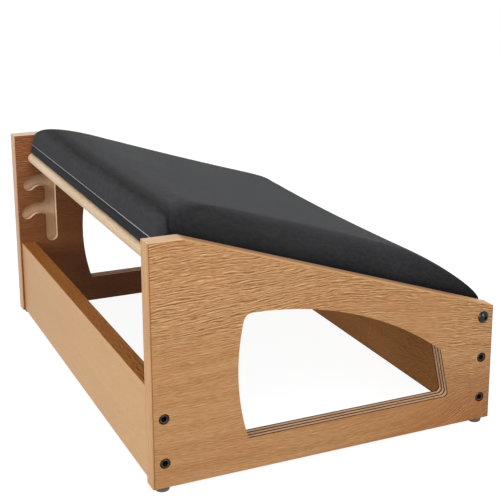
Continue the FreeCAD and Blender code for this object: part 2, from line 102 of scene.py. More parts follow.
# Simulation of the cover
PRESSURE = 4.0
SIMULATED_FRAMES = 20
SWELL_LIMIT = 0.0012
SWELL_EASE = 0.008
SLIDE_LIMIT = 0.0006

# Camera of the photograph, for a square image
CAMERA_PLACE = (1.00040, -0.41314, 0.45034)
CAMERA_AZIMUTH = 65.122
CAMERA_ELEVATION = 14.022
CAMERA_LENS = 80.469
CAMERA_SHIFT = (-0.04, -0.12)
SENSOR_WIDTH = 36.0

# Light, where 1 lights a white surface to plain white
SKY_LIGHT = 0.36
LAMPS = {
    "key": {"azimuth": 84.0, "elevation": 36.0, "distance": 1.7, "size": 1.1, "share": 0.615},
    "front": {"azimuth": 14.0, "elevation": 16.0, "distance": 1.8, "size": 1.0, "share": 0.52},
    "top": {"azimuth": 200.0, "elevation": 62.0, "distance": 1.6, "size": 1.1, "share": 0.16},
}
FLOOR_SIZE = 12.0
FLOOR_GREY = 0.24
FLOOR_GLOW = 0.92

# How far a surface's normal has to lean along an axis to count as facing it
FACING = 0.7


def srgb(red, green, blue):
    """A display colour, 0 to 255, as the linear colour that shaders use."""
    linear = []
    for part in (red, green, blue):
        value = part / 255
        linear.append(value / 12.92 if value <= 0.04045 else ((value + 0.055) / 1.055) ** 2.4)
    return (*linear, 1.0)


class Surface:
    """One node material. Each method adds a node and returns its output socket."""

    def __init__(self, name):
        self.material = bpy.data.materials.new(name)
        self.material.use_nodes = True
        self.tree = self.material.node_tree
        self.shader = self.tree.nodes["Principled BSDF"]
        coordinates = self.tree.nodes.new("ShaderNodeTexCoord")
        self.place = coordinates.outputs["Object"]
        self.normal = coordinates.outputs["Normal"]

    def feed(self, socket, value):
        """Link another node's output to a socket, or set the socket's own value."""
        if isinstance(value, bpy.types.NodeSocket):
            self.tree.links.new(value, socket)
        else:
            socket.default_value = value

    def set(self, **values):
        """Set the shader's sockets, named in lower case with underscores."""
        for key, value in values.items():
            self.feed(self.shader.inputs[key.replace("_", " ").title().replace("Ior", "IOR")], value)

    def math(self, operation, first, second=0.0, third=0.0):
        node = self.tree.nodes.new("ShaderNodeMath")
        node.operation = operation
        for socket, value in zip(node.inputs, (first, second, third)):
            self.feed(socket, value)
        return node.outputs[0]

    def vector(self, operation, first, second=(0.0, 0.0, 0.0)):
        node = self.tree.nodes.new("ShaderNodeVectorMath")
        node.operation = operation
        self.feed(node.inputs[0], first)
        self.feed(node.inputs[1], second)
        return node.outputs[0]

    def split(self, vector):
        node = self.tree.nodes.new("ShaderNodeSeparateXYZ")
        self.feed(node.inputs[0], vector)
        return node.outputs

    def join(self, x, y, z):
        node = self.tree.nodes.new("ShaderNodeCombineXYZ")
        for socket, value in zip(node.inputs, (x, y, z)):
            self.feed(socket, value)
        return node.outputs[0]

    def noise(self, place, sizes, detail=2.0, roughness=0.5):
        """Noise whose features are about the given sizes along each axis, in metres."""
        node = self.tree.nodes.new("ShaderNodeTexNoise")
        scaled = self.vector("MULTIPLY", place, tuple(1 / size for size in sizes))
        self.feed(node.inputs["Vector"], scaled)
        node.inputs["Scale"].default_value = 1.0
        node.inputs["Detail"].default_value = detail
        node.inputs["Roughness"].default_value = roughness
        return node.outputs["Fac"]

    def between(self, value, low, high, start=0.0, end=1.0):
        """Value mapped smoothly from low..high to start..end and held there."""
        node = self.tree.nodes.new("ShaderNodeMapRange")
        node.interpolation_type = "SMOOTHSTEP"
        for socket, part in zip(node.inputs, (value, low, high, start, end)):
            self.feed(socket, part)
        return node.outputs[0]

    def mix(self, share, first, second, blend="MIX"):
        """Two colours mixed."""
        node = self.tree.nodes.new("ShaderNodeMix")
        node.data_type = "RGBA"
        node.blend_type = blend
        self.feed(node.inputs["Factor"], share)
        self.feed(node.inputs[6], first)
        self.feed(node.inputs[7], second)
        return node.outputs[2]

    def ramp(self, value, stops):
        """A colour from (position, colour) stops, mixed evenly between them."""
        node = self.tree.nodes.new("ShaderNodeValToRGB")
        ramp = node.color_ramp
        while len(ramp.elements) < len(stops):
            ramp.elements.new(0.5)
        for element, (position, colour) in zip(ramp.elements, stops):
            element.position = position
            element.color = colour
        self.feed(node.inputs[0], value)
        return node.outputs[0]

    def bump(self, height, depth, strength=1.0):
        node = self.tree.nodes.new("ShaderNodeBump")
        node.inputs["Strength"].default_value = strength
        node.inputs["Distance"].default_value = depth
        self.feed(node.inputs["Height"], height)
        self.feed(self.shader.inputs["Normal"], node.outputs[0])

    def faces(self, axis):
        """1 where the surface faces along an axis (0, 1 or 2), either way."""
        turned = self.math("ABSOLUTE", self.split(self.normal)[axis])
        return self.math("GREATER_THAN", turned, FACING)


# Shared by the woods and the fabric
def threads(surface, along, pitch):
    """A wave across parallel threads or lines of grain."""
    return surface.math("SINE", surface.math("MULTIPLY", along, 2 * math.pi / pitch))


def rise(surface, terms):
    """Sum of (value, middle, height) terms: each value's distance from its middle, times a height."""
    total = 0.0
    for value, middle, height in terms:
        total = surface.math("MULTIPLY_ADD", surface.math("SUBTRACT", value, middle), height, total)
    return total


# Woods
def grain_lines(surface, waved, layer, pitch):
    """Broken dark and light lines of the grain, -1 to 1, in one of several layers."""
    moved = surface.vector("ADD", waved, (layer, layer, 0.0))
    wander = surface.noise(moved, (0.004, 0.022, 0.005), detail=1.0)
    along = surface.math("MULTIPLY_ADD", wander, LINE_WANDER, surface.split(waved)[2])
    whole = surface.noise(moved, (0.003, 0.008, 0.0020), detail=2.0)
    whole = surface.between(whole, 0.38, 0.62, 0.0, LINE_SHARE)
    return surface.math("MULTIPLY", threads(surface, along, pitch), whole)


def veneer(surface, place, tones, lift=0.0):
    """Oak-like veneer with its grain along Y. Returns its colour and its height."""
    drift = surface.noise(place, (0.15, 0.16, 0.07), detail=1.0)
    ripple = surface.noise(place, (0.05, 0.022, 0.010), detail=1.0)
    lift = surface.math("ADD", lift, rise(surface, [(drift, 0.5, 0.014), (ripple, 0.5, 0.0024)]))
    waved = surface.vector("ADD", place, surface.join(0.0, 0.0, lift))
    bands = surface.noise(waved, (0.03, 0.20, 0.008), detail=2.0)
    hairs = surface.noise(waved, (0.002, 0.006, 0.0007), detail=1.0)
    lines = surface.math("ADD", grain_lines(surface, waved, 0.0, LINE_PITCH),
                         grain_lines(surface, waved, 1.0, FINE_LINE_PITCH))
    _, y, z = surface.split(place)
    strong = surface.math("MAXIMUM", surface.between(z, *STRONG_LINES_ABOVE),
                          surface.between(y, *STRONG_LINES_BEHIND))
    strong = surface.math("MULTIPLY_ADD", strong, 1 - LINE_LEAST, LINE_LEAST)
    lines = surface.math("MULTIPLY", lines, strong)
    patches = surface.noise(place, (0.10, 0.12, 0.05), detail=2.0)
    tone = rise(surface, [(bands, 0.0, 0.45), (hairs, 0.0, 0.55)])
    colour = surface.ramp(surface.between(tone, 0.30, 0.70), [
        (0.0, tones["dark"]), (0.5, tones["middle"]), (1.0, tones["light"])])
    colour = surface.mix(surface.between(patches, 0.48, 0.74, 0.0, 0.4), colour, tones["red"])
    colour = surface.mix(surface.between(lines, 0.0, -1.0), colour, tones["pore"])
    colour = surface.mix(surface.between(lines, 0.0, 1.0), colour, tones["fleck"])
    height = surface.math("MULTIPLY_ADD", lines, 0.35, 0.5)
    return colour, height


OAK = {
    "dark": srgb(176, 125, 77),
    "middle": srgb(191, 141, 92),
    "light": srgb(201, 153, 105),
    "red": srgb(184, 124, 80),
    "pore": srgb(138, 90, 51),
    "fleck": srgb(226, 180, 131),
}
# A redder veneer for the panels' inner faces, darkened further by painted shade.
INNER_OAK_AND_SHADE = {
    "dark": srgb(128, 75, 40),
    "middle": srgb(139, 84, 47),
    "light": srgb(150, 93, 53),
    "red": srgb(134, 76, 41),
    "pore": srgb(104, 58, 31),
    "fleck": srgb(174, 114, 66),
}
# Painted shade: a shaded copy of the rail veneer, for all but the front rail's front face.
SHADED_OAK = {
    "dark": srgb(158, 96, 42),
    "middle": srgb(176, 110, 50),
    "light": srgb(190, 124, 60),
    "red": srgb(166, 98, 46),
    "pore": srgb(134, 78, 34),
    "fleck": srgb(198, 136, 72),
}
# Painted light: a lit copy of the rail veneer, for the front rail's front face.
LIT_VENEER = {
    "dark": srgb(201, 153, 98),
    "middle": srgb(205, 158, 103),
    "light": srgb(209, 163, 108),
    "red": srgb(201, 149, 99),
    "pore": srgb(197, 149, 94),
    "fleck": srgb(212, 166, 112),
}
ROD_WOOD = {
    "dark": srgb(207, 178, 142),
    "middle": srgb(215, 187, 154),
    "light": srgb(221, 194, 161),
    "red": srgb(211, 178, 144),
    "pore": srgb(202, 170, 133),
    "fleck": srgb(223, 197, 165),
}

# Grain of the veneers. A pair is where a change begins and where it is full, in metres.
WOOD_GLOSS = 0.25
LINE_PITCH = 0.0025
FINE_LINE_PITCH = 0.0018
LINE_SHARE = 0.7
LINE_WANDER = 0.0045
LINE_LEAST = 0.4
STRONG_LINES_ABOVE = (0.10, 0.15)
STRONG_LINES_BEHIND = (0.09, 0.13)
CUT_ROUGHNESS = 0.9
GRAIN_RISE = 0.04
GRAIN_FALL = 0.13
SLANT_ABOVE = (0.03, 0.08)
CORNER_RISE = 0.080
CORNER_BEHIND = (0.08, 0.24)
CORNER_BELOW = (0.05, 0.02)

# Plywood seen at the cut-out: dark layers between pale ones, as shares of the thickness
PLY_PERIOD = 0.303
PLY_DARK_SHARE = 0.36
PLY_BLUR = 0.06
PLY_PALE = srgb(218, 178, 142)
PLY_FIBRE = srgb(196, 152, 116)
PLY_DARK = srgb(76, 42, 22)

# Panels: darker towards the lower rear (partly the wood's own tone, partly painted shade), bare core in the slots
# with painted shade in their corners, a glue line at the front rim
TONE_AND_SHADE = srgb(226, 200, 176)
TONE_AND_SHADE_BEHIND = (0.0, 0.15)
TONE_AND_SHADE_BELOW = (0.08, 0.0)
SLOT_FLOOR = srgb(238, 200, 162)
SLOT_STREAK = srgb(222, 182, 144)
SLOT_WALL = srgb(246, 220, 190)
SLOT_CORNER_SHADE = srgb(132, 90, 58)
SLOT_CORNER_SHADE_WIDTH = 0.0010
FACE_SKIN = 0.0004
GLUE_LINE = srgb(126, 80, 48)
RIM_WIDTH = 0.0008
RIM_SHARE = 0.7

# Edging: painted shadow of the pad along the slope's inner side, a painted highlight on the flat top, painted
# light on the left panel's front strip
EDGING_TONES = ((0.0, srgb(188, 138, 82)), (0.5, srgb(200, 150, 94)), (1.0, srgb(208, 160, 106)))
EDGING_CLOUD = srgb(188, 132, 80)
PAD_SHADOW = srgb(196, 182, 168)
PAD_SHADOW_INSET = (0.0022, 0.0042)
SLOPE_START = (-0.136, -0.124)
SLOPE_END = (0.145, 0.115)
FLAT_TOP_HIGHLIGHT = srgb(228, 210, 188)
FLAT_TOP_HIGHLIGHT_SHARE = 0.3
FLAT_TOP_AHEAD = (-0.128, -0.134)
LEFT_STRIP_LIGHT = srgb(212, 180, 160)
LEFT_STRIP_LIGHT_SHARE = 0.4
LEFT_SIDE = (0.0, -0.1)
FRONT_STRIP_AHEAD = (-0.150, -0.156)
REAR_LINE_WIDTH = 0.002
REAR_LINE_SHARE = 0.8

# Rails and rod: lit and shaded copies of the rail veneer, painted light at the rod's left end
RAIL_GLOSS = 0.18
REAR_RAIL_GLOSS = 0.04
RAIL_LIT_SHARE = 0.12
RAIL_TOP_STRETCH = 0.6
ROD_LEFT_LIGHT = srgb(240, 216, 186)
ROD_LEFT_LIGHT_FROM = (-0.03, -0.15)
ROD_LEFT_LIGHT_SHARE = 0.6


def ply_stripes(surface, depth):
    """Cut edge of plywood: pale layers between dark ones, by the depth through the board."""
    inside = surface.math("SUBTRACT", depth, PANEL_INNER)
    share = surface.math("DIVIDE", inside, (PANEL_OUTER - PANEL_INNER) * PLY_PERIOD)
    part = surface.math("FRACT", share)
    rising = surface.between(part, PLY_DARK_SHARE - PLY_BLUR, PLY_DARK_SHARE + PLY_BLUR)
    falling = surface.between(part, 1.0, 1.0 - PLY_BLUR)
    fibres = surface.noise(surface.place, (0.0005, 0.02, 0.02), detail=3.0)
    pale = surface.mix(surface.between(fibres, 0.35, 0.7), PLY_PALE, PLY_FIBRE)
    return surface.mix(surface.math("MULTIPLY", rising, falling), PLY_DARK, pale)


def panel_lift(surface):
    """How far the panel's grain is lowered: it rises, then falls, and climbs at the lower rear."""
    _, y, z = surface.split(surface.place)
    ahead = surface.math("MINIMUM", y, 0.0)
    behind = surface.math("MAXIMUM", y, 0.0)
    slant = rise(surface, [(ahead, 0.0, -GRAIN_RISE), (behind, 0.0, GRAIN_FALL)])
    slant = surface.math("MULTIPLY", slant, surface.between(z, *SLANT_ABOVE))
    climb = surface.math("MULTIPLY", surface.between(y, *CORNER_BEHIND), -CORNER_RISE)
    climb = surface.math("MULTIPLY", climb, surface.between(z, *CORNER_BELOW))
    return surface.math("ADD", slant, climb)


def oak_panel():
    """Panel: veneered faces, browner inside (a redder veneer and painted shade), plywood layers in the cut-out,
    bare core in the slots with painted shade in their corners.
    """
    surface = Surface("oak_panel")
    lift = panel_lift(surface)
    colour, height = veneer(surface, surface.place, OAK, lift)
    # The inner faces: a redder veneer, darkened further by painted shade.
    inner = veneer(surface, surface.place, INNER_OAK_AND_SHADE)[0]
    x, y, z = surface.split(surface.place)
    depth = surface.math("ABSOLUTE", x)
    rim = surface.math("LESS_THAN", y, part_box("side_panel_right")[0].y + RIM_WIDTH)
    colour = surface.mix(surface.math("MULTIPLY", rim, RIM_SHARE), colour, GLUE_LINE)
    # Darker towards the lower rear: partly the wood's own tone, partly painted shade.
    tone_and_shade = surface.math("MULTIPLY", surface.between(y, *TONE_AND_SHADE_BEHIND),
                         surface.between(z, *TONE_AND_SHADE_BELOW))
    colour = surface.mix(tone_and_shade, colour, TONE_AND_SHADE, blend="MULTIPLY")
    streaks = surface.noise(surface.place, (0.01, 0.004, 0.03), detail=3.0)
    floor = surface.mix(streaks, SLOT_FLOOR, SLOT_STREAK)
    floor_depth = PANEL_INNER + SLOT_DEPTH
    # Painted shade: a dark line in the corner where the slot's walls meet its floor.
    corner = surface.math("GREATER_THAN", depth, floor_depth - SLOT_CORNER_SHADE_WIDTH)
    wall = surface.mix(corner, SLOT_WALL, SLOT_CORNER_SHADE)
    in_slot = surface.math("LESS_THAN", y, SLOT_REAR)
    edge = surface.mix(in_slot, ply_stripes(surface, depth), wall)
    face = surface.mix(surface.math("LESS_THAN", depth, floor_depth + FACE_SKIN), colour, floor)
    face = surface.mix(surface.math("LESS_THAN", depth, PANEL_INNER + FACE_SKIN), face, inner)
    surface.set(base_color=surface.mix(surface.faces(0), edge, face), specular_ior_level=WOOD_GLOSS)
    sheen = surface.between(height, 0.3, 0.7, 0.52, 0.40)
    on_face = surface.math("MULTIPLY", surface.faces(0), CUT_ROUGHNESS)
    cut = surface.math("SUBTRACT", CUT_ROUGHNESS, on_face)
    surface.set(roughness=surface.math("MAXIMUM", sheen, cut))
    surface.bump(height, 0.00045, 0.8)
    return surface.material


def edging():
    """Pale edging strip, with fine grain along the panel's rim."""
    surface = Surface("edging")
    fine = surface.noise(surface.place, (0.0012, 0.03, 0.03), detail=4.0, roughness=0.6)
    cloud = surface.noise(surface.place, (0.03, 0.05, 0.05), detail=2.0)
    colour = surface.ramp(surface.between(fine, 0.3, 0.7), EDGING_TONES)
    colour = surface.mix(surface.between(cloud, 0.4, 0.7, 0.0, 0.35), colour, EDGING_CLOUD)
    x, y, _ = surface.split(surface.place)
    inset = surface.math("SUBTRACT", PANEL_OUTER, surface.math("ABSOLUTE", x))
    slope = surface.math("MULTIPLY", surface.between(y, *SLOPE_START), surface.between(y, *SLOPE_END))
    slope = surface.math("MULTIPLY", slope, surface.faces(2))
    # Painted shadow of the pad along the inner side of the sloped top.
    rubbed = surface.math("MULTIPLY", slope, surface.between(inset, *PAD_SHADOW_INSET))
    colour = surface.mix(rubbed, colour, PAD_SHADOW, blend="MULTIPLY")
    # Painted light: the left panel's front strip paler.
    left = surface.math("MULTIPLY", surface.between(x, *LEFT_SIDE), LEFT_STRIP_LIGHT_SHARE)
    pale = surface.math("MULTIPLY", left, surface.between(y, *FRONT_STRIP_AHEAD))
    colour = surface.mix(pale, colour, LEFT_STRIP_LIGHT)
    # Painted highlight on the up-facing flat top, stronger on the left panel.
    flat_top = surface.math("MULTIPLY", surface.between(y, *FLAT_TOP_AHEAD), surface.faces(2))
    flat_top_highlight = surface.math("MULTIPLY", flat_top, surface.math("ADD", left, FLAT_TOP_HIGHLIGHT_SHARE))
    colour = surface.mix(flat_top_highlight, colour, FLAT_TOP_HIGHLIGHT)
    # A dark line along the rear of the edging's sides, in the glue line's colour.
    at_rear = surface.math("GREATER_THAN", y, CAD_BOX[1].y - REAR_LINE_WIDTH)
    rear_line = surface.math("MULTIPLY", surface.faces(0), at_rear)
    colour = surface.mix(surface.math("MULTIPLY", rear_line, REAR_LINE_SHARE), colour, GLUE_LINE)
    surface.set(base_color=colour, roughness=surface.between(fine, 0.2, 0.8, 0.46, 0.38))
    surface.set(specular_ior_level=WOOD_GLOSS)
    surface.bump(fine, 0.00015, 0.5)
    return surface.material


def rail_wood(name, gloss):
    """Rail veneer: a lit copy, pale and smooth, on the front rail's front face, and a shaded copy, browner,
    everywhere else.
    """
    surface = Surface(name)
    x, y, z = surface.split(surface.place)
    place = surface.join(y, x, z)
    # Painted light: the lit copy of the veneer, for the front rail's front face.
    pale, height = veneer(surface, place, LIT_VENEER)
    brown = veneer(surface, place, SHADED_OAK)[0]
    stretched = surface.join(z, x, surface.math("MULTIPLY", y, RAIL_TOP_STRETCH))
    top, top_height = veneer(surface, stretched, SHADED_OAK)
    # Painted shade: the shaded copy on the other faces and the top, lightened a little with the lit copy.
    shaded = surface.mix(surface.faces(2), surface.mix(RAIL_LIT_SHARE, brown, pale), top)
    front = surface.math("LESS_THAN", surface.split(surface.normal)[1], -FACING)
    front = surface.math("MULTIPLY", front, surface.math("LESS_THAN", y, 0.0))
    surface.set(base_color=surface.mix(front, shaded, pale), specular_ior_level=gloss)
    surface.set(roughness=surface.between(height, 0.3, 0.7, 0.46, 0.38))
    surface.bump(surface.math("ADD", height, top_height), 0.00010, 0.4)
    return surface.material


def rod_wood():
    """Bare pale rod with grain along its length, and painted light towards its left end."""
    surface = Surface("rod_wood")
    x, y, z = surface.split(surface.place)
    colour, height = veneer(surface, surface.join(y, x, z), ROD_WOOD)
    # Painted light: paler towards the rod's left end.
    left = surface.between(x, *ROD_LEFT_LIGHT_FROM, 0.0, ROD_LEFT_LIGHT_SHARE)
    colour = surface.mix(left, colour, ROD_LEFT_LIGHT)
    surface.set(base_color=colour, roughness=surface.between(height, 0.3, 0.7, 0.55, 0.45))
    surface.set(specular_ior_level=WOOD_GLOSS)
    surface.bump(height, 0.00020, 0.5)
    return surface.material


def bare_wood(name, base, darker):
    """Bare beech or plywood that only shows where the footrest is taken apart."""
    surface = Surface(name)
    streaks = surface.noise(surface.place, (0.03, 0.004, 0.002), detail=4.0)
    surface.set(base_color=surface.mix(streaks, base, darker), roughness=0.6)
    surface.bump(streaks, 0.0002, 0.5)
    return surface.material


# Fabric: painted shade where the cover turns away from the light (its sides, rear, shoulder, wall foot and the
# band below the seam), painted light on its front, and a twisted piping with painted shade at its left end
WEAVE_PITCH = 0.0025
WEAVE_WOBBLE = 0.004
THREAD_DARK = srgb(11, 11, 12)
THREAD_PALE = srgb(54, 54, 56)
SLUB_DARK = srgb(10, 10, 11)
SLUB_PALE = srgb(78, 78, 81)
SLUB_SHARE = 0.12
CLOUD_DARK = srgb(14, 14, 15)
# Painted shade, for the cover's sides, rear, shoulder and wall foot.
PAINTED_SHADE = srgb(6, 6, 7)
SIDE_SHADE = 0.5
REAR_SHADE = 0.4
RIDGE_SHADE = 0.6
FOOT_SHADOW = 0.6
FOOT_SHADOW_HEIGHT = (0.020, 0.008)
FRONT_LIGHT = srgb(84, 84, 86)
FRONT_LIGHT_SHARE = 0.24
FRONT_LIGHT_FADE = (0.222, 0.190)
BOARD_BAND_SHADE = srgb(12, 14, 18)
BOARD_BAND_SHADE_SHARE = 0.6
BOARD_BAND_EDGE = 0.0004
TWIST_PITCH = 0.0012
PIPING_DARK = srgb(120, 122, 126)
PIPING_PALE = srgb(176, 178, 182)
PIPING_LEFT_SHADE = srgb(52, 52, 56)
PIPING_LEFT_SHADE_FROM = (-0.12, -0.20)
PIPING_LEFT_SHADE_SHARE = 0.6


def weave(surface):
    """Height of a plain weave on every face of the pad, 0 to 1."""
    turn = surface.tree.nodes.new("ShaderNodeMapping")
    turn.inputs["Rotation"].default_value = (PAD_SLOPE, 0.0, 0.0)
    surface.feed(turn.inputs["Vector"], surface.place)
    x, y, z = surface.split(turn.outputs[0])
    sideways = surface.faces(0)
    wobble = surface.noise(surface.place, (0.03, 0.03, 0.03), detail=2.0)
    wobble = surface.math("MULTIPLY", surface.math("SUBTRACT", wobble, 0.5), WEAVE_WOBBLE)
    across = surface.math("ADD", surface.math("MULTIPLY", z, sideways), x)
    along = surface.math("SUBTRACT", y, z)
    first = threads(surface, surface.math("ADD", across, wobble), WEAVE_PITCH)
    second = threads(surface, surface.math("ADD", along, wobble), WEAVE_PITCH)
    product = surface.math("MULTIPLY", first, second)
    return surface.math("MULTIPLY_ADD", product, 0.5, 0.5)


def cover_fabric():
    """Fine charcoal weave with a soft sheen."""
    surface = Surface("cover_fabric")
    height = weave(surface)
    slub = surface.noise(surface.place, (0.004, 0.004, 0.004), detail=3.0)
    cloud = surface.noise(surface.place, (0.06, 0.06, 0.06), detail=2.0)
    colour = surface.mix(height, THREAD_DARK, THREAD_PALE)
    mottle = surface.mix(surface.between(slub, 0.36, 0.64), SLUB_DARK, SLUB_PALE)
    colour = surface.mix(SLUB_SHARE, colour, mottle)
    colour = surface.mix(surface.between(cloud, 0.4, 0.65, 0.0, 0.25), colour, CLOUD_DARK)
    facing = surface.split(surface.normal)
    sideways = surface.math("ABSOLUTE", facing[0])
    # Painted shade on the sides and the rear of the cover.
    colour = surface.mix(surface.between(sideways, 0.25, 0.85, 0.0, SIDE_SHADE), colour, PAINTED_SHADE)
    colour = surface.mix(surface.between(facing[1], 0.15, 0.6, 0.0, REAR_SHADE), colour, PAINTED_SHADE)
    # Painted shade along the front shoulder, between the front and the top.
    ridge_shade = surface.math("MINIMUM", surface.between(facing[1], -0.6, -0.3),
                         surface.between(facing[1], 0.1, -0.15))
    ridge_shade = surface.math("MULTIPLY", ridge_shade, surface.between(facing[2], 0.5, 0.8, 0.0, RIDGE_SHADE))
    colour = surface.mix(ridge_shade, colour, PAINTED_SHADE)
    x, y, z = surface.split(surface.place)
    # Painted light on the front-facing cover, fading out towards the right panel.
    lit = surface.between(facing[1], -0.4, -0.9, 0.0, FRONT_LIGHT_SHARE)
    lit = surface.math("MULTIPLY", lit, surface.between(x, *FRONT_LIGHT_FADE))
    colour = surface.mix(lit, colour, FRONT_LIGHT)
    # Painted shade on the band below the seam, round the board's edge.
    above = rise(surface, [(y, PIVOT.y, PAD_NORMAL.y), (z, PIVOT.z, PAD_NORMAL.z)])
    band_top = SEAM_HEIGHT + BOARD_BAND_EDGE
    band = surface.between(above, band_top, SEAM_HEIGHT - SEAM_LIP, 0.0, BOARD_BAND_SHADE_SHARE)
    colour = surface.mix(band, colour, BOARD_BAND_SHADE)
    # Painted shadow low on the side walls, where the cover meets the panels.
    foot_shadow = surface.between(sideways, 0.2, 0.6, 0.0, FOOT_SHADOW)
    foot_shadow = surface.math("MULTIPLY", foot_shadow, surface.between(above, *FOOT_SHADOW_HEIGHT))
    colour = surface.mix(foot_shadow, colour, PAINTED_SHADE)
    surface.set(base_color=colour, roughness=0.85, sheen_weight=0.15, sheen_roughness=0.30)
    surface.set(sheen_tint=(0.97, 0.98, 1.0, 1.0), specular_ior_level=0.05)
    surface.bump(surface.math("MULTIPLY_ADD", slub, 0.5, height), 0.00018, 0.7)
    return surface.material


def piping():
    """Pale grey cord with a twist, darkened by painted shade towards its left end."""
    surface = Surface("piping")
    x, _, z = surface.split(surface.place)
    slanted = surface.math("ADD", x, surface.math("MULTIPLY", z, 0.8))
    twist = threads(surface, slanted, TWIST_PITCH)
    colour = surface.mix(surface.math("MULTIPLY_ADD", twist, 0.5, 0.5), PIPING_DARK, PIPING_PALE)
    # Painted shade: darker towards the left end.
    left = surface.between(x, *PIPING_LEFT_SHADE_FROM, 0.0, PIPING_LEFT_SHADE_SHARE)
    colour = surface.mix(left, colour, PIPING_LEFT_SHADE)
    surface.set(base_color=colour, roughness=0.7, sheen_weight=0.2)
    surface.bump(twist, 0.0002, 0.6)
    return surface.material


def liner_fabric():
    """Thin black non-woven liner under the pad."""
    surface = Surface("liner_fabric")
    fibres = surface.noise(surface.place, (0.0015, 0.0015, 0.0015), detail=5.0, roughness=0.7)
    dimples = surface.tree.nodes.new("ShaderNodeTexVoronoi")
    dimples.inputs["Scale"].default_value = 420.0
    surface.feed(dimples.inputs["Vector"], surface.place)
    spots = surface.between(dimples.outputs["Distance"], 0.1, 0.5)
    colour = surface.mix(fibres, srgb(24, 24, 25), srgb(48, 48, 50))
    surface.set(base_color=colour, roughness=0.9)
    surface.bump(surface.math("MULTIPLY_ADD", fibres, 0.5, spots), 0.0003, 0.6)
    return surface.material


def foam():
    """Open-cell foam, hidden in the cover."""
    surface = Surface("foam")
    cells = surface.noise(surface.place, (0.001, 0.001, 0.001), detail=3.0)
    surface.set(base_color=surface.mix(cells, srgb(214, 210, 190), srgb(232, 228, 212)), roughness=0.95)
    surface.bump(cells, 0.0005, 0.8)
    return surface.material


# Metal, nylon and rubber
SOCKET_LIP = 0.0004


def worn(name, base, rubbed, metallic, smooth, rough):
    """A hard finish with faint smudges: its colour and gloss vary a little."""
    surface = Surface(name)
    smudge = surface.noise(surface.place, (0.004, 0.004, 0.004), detail=4.0, roughness=0.6)
    grains = surface.noise(surface.place, (0.0006, 0.0006, 0.0006), detail=2.0)
    colour = surface.mix(surface.between(smudge, 0.5, 0.75), base, rubbed)
    surface.set(base_color=colour, metallic=metallic)
    surface.set(roughness=surface.between(smudge, 0.3, 0.7, smooth, rough))
    surface.bump(grains, 0.00006, 0.5)
    return surface.material


def black_bolt():
    """Black steel, with painted shade making the sockets' insides near black."""
    surface = Surface("black_steel")
    smudge = surface.noise(surface.place, (0.004, 0.004, 0.004), detail=4.0, roughness=0.6)
    depth = surface.math("ABSOLUTE", surface.split(surface.place)[0])
    # Painted shade: below the head's face, the socket's inside is near black.
    inside = surface.math("LESS_THAN", depth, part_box("frame_bolts")[1].x - SOCKET_LIP)
    colour = surface.mix(surface.between(smudge, 0.4, 0.7), srgb(50, 42, 32), srgb(92, 76, 56))
    surface.set(base_color=surface.mix(inside, colour, srgb(8, 7, 7)), metallic=0.4)
    rough = surface.between(smudge, 0.3, 0.7, 0.32, 0.45)
    surface.set(roughness=surface.math("MAXIMUM", rough, inside), specular_ior_level=0.3)
    return surface.material


def make_materials():
    """One material for each material slot of the record."""
    return {
        "oak_panel": oak_panel(),
        "edging": edging(),
        "rail_wood": rail_wood("rail_wood", RAIL_GLOSS),
        "rod_wood": rod_wood(),
        "dowel_wood": bare_wood("dowel_wood", srgb(206, 176, 132), srgb(184, 150, 106)),
        "plywood": bare_wood("plywood", srgb(200, 166, 120), srgb(170, 130, 86)),
        "foam": foam(),
        "cover_fabric": cover_fabric(),
        "liner_fabric": liner_fabric(),
        "piping": piping(),
        "black_steel": black_bolt(),
        "dome_steel": worn("dome_steel", srgb(18, 16, 14), srgb(40, 34, 28), 0.4, 0.05, 0.10),
        "zinc_steel": worn("zinc_steel", srgb(176, 178, 180), srgb(200, 200, 200), 1.0, 0.25, 0.40),
        "nylon": worn("nylon", srgb(32, 32, 33), srgb(48, 48, 49), 0.0, 0.45, 0.60),
        "foot_rubber": worn("foot_rubber", srgb(104, 92, 82), srgb(124, 110, 98), 0.0, 0.55, 0.70),
    }


def dress_cad_nodes(materials):
    """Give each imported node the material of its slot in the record, and the rear rail a duller one."""
    dull = rail_wood("rail_wood_dull", REAR_RAIL_GLOSS)
    for subpart in frame["record"]["subparts"]:
        data = frame["nodes"][subpart["node"]].data
        material = materials[subpart["material_slot"]]
        if subpart["node"] == "rear_rail":
            material = dull
        if len(data.materials) == 0:
            data.materials.append(material)
        for index in range(len(data.materials)):
            data.materials[index] = material


# Cushion
def rim_walk():
    """Grid places round the edge of the cushion's grid, as (across, along) from 0 to 1."""
    walk = [(i / GRID_ACROSS, 0.0) for i in range(GRID_ACROSS)]
    walk += [(1.0, j / GRID_ALONG) for j in range(GRID_ALONG)]
    walk += [(1 - i / GRID_ACROSS, 1.0) for i in range(GRID_ACROSS)]
    walk += [(0.0, 1 - j / GRID_ALONG) for j in range(GRID_ALONG)]
    return walk


